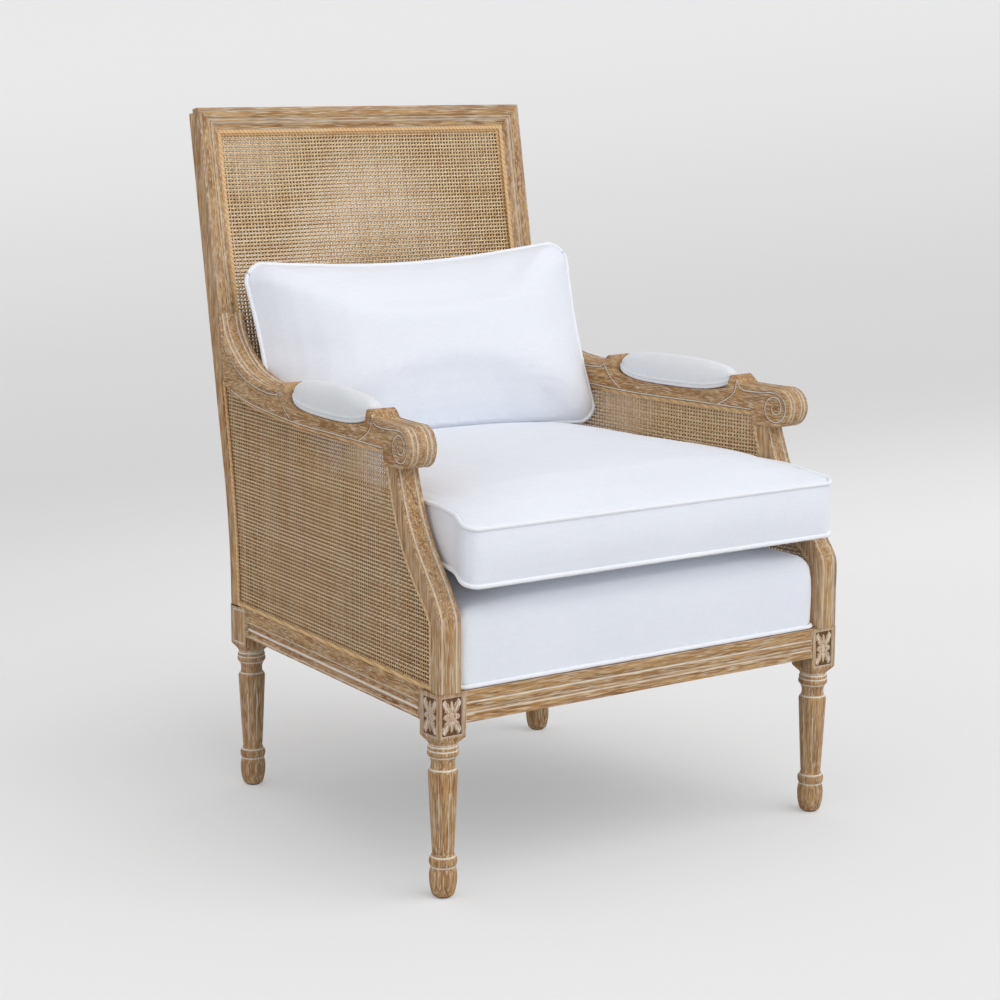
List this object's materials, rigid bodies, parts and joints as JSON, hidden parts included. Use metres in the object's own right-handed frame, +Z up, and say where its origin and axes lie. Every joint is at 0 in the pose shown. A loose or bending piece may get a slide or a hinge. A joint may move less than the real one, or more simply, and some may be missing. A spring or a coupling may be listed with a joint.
{
  "type": "bergere armchair",
  "caption": "Bergere armchair with caned back and sides, scrolled arms on swept supports, fluted turned legs, sprung deck, loose welted seat cushion and lumbar pillow.",
  "frame": {"origin": "on the floor, under the middle of the whole chair", "axes": "+Z up, the sitter faces -Y, +X to the viewer's right when the chair is seen from the front"},
  "size_m": [0.702, 0.768, 1.0198],
  "materials": {
    "limed_oak": "weathered, limed, dry waxed",
    "woven_cane": "natural cane, square weave",
    "reed_spline": "natural reed",
    "linen_upholstery": "plain weave, matte",
    "linen_cushions": "plain weave, matte",
    "beech_blocks": "sawn",
    "jute_webbing": "woven jute",
    "cambric": "matte non-woven",
    "felt_glides": "pressed felt"
  },
  "bodies": {
    "frame": {"front_leg_left": "limed_oak", "front_leg_right": "limed_oak", "back_post_left": "limed_oak", "back_post_right": "limed_oak", "back_face_stile_left": "limed_oak", "back_face_stile_right": "limed_oak", "back_face_crest": "limed_oak", "back_face_lower_rail": "limed_oak", "crest_rail": "limed_oak", "back_lower_rail": "limed_oak", "front_seat_rail": "limed_oak", "rear_seat_rail": "limed_oak", "side_seat_rail_left": "limed_oak", "side_seat_rail_right": "limed_oak", "arm_support_left": "limed_oak", "arm_support_right": "limed_oak", "armrest_left": "limed_oak", "armrest_right": "limed_oak", "side_cane_outer_left": "woven_cane", "side_cane_outer_right": "woven_cane", "side_cane_inner_left": "woven_cane", "side_cane_inner_right": "woven_cane", "back_cane_front": "woven_cane", "back_cane_rear": "woven_cane", "side_spline_outer_left": "reed_spline", "side_spline_outer_right": "reed_spline", "side_spline_inner_left": "reed_spline", "side_spline_inner_right": "reed_spline", "back_spline_front": "reed_spline", "back_spline_rear": "reed_spline", "arm_pad_left": "linen_upholstery", "arm_pad_right": "linen_upholstery", "seat_deck": "linen_upholstery", "corner_block_front_left": "beech_blocks", "corner_block_front_right": "beech_blocks", "corner_block_rear_left": "beech_blocks", "corner_block_rear_right": "beech_blocks", "seat_webbing": "jute_webbing", "dust_cover": "cambric", "foot_glide_front_left": "felt_glides", "foot_glide_front_right": "felt_glides", "foot_glide_rear_left": "felt_glides", "foot_glide_rear_right": "felt_glides"},
    "cushion": {"seat_cushion": "linen_cushions"},
    "pillow": {"lumbar_pillow": "linen_cushions"}
  },
  "joints": [
    {"name": "seat_cushion_lift", "type": "slide", "parent": "frame", "child": "cushion", "axis": [0, 0, 1], "range_m": [0, 0.32]},
    {"name": "pillow_lift", "type": "slide", "parent": "cushion", "child": "pillow", "axis": [0, 0, 1], "range_m": [0, 0.3]}
  ]
}
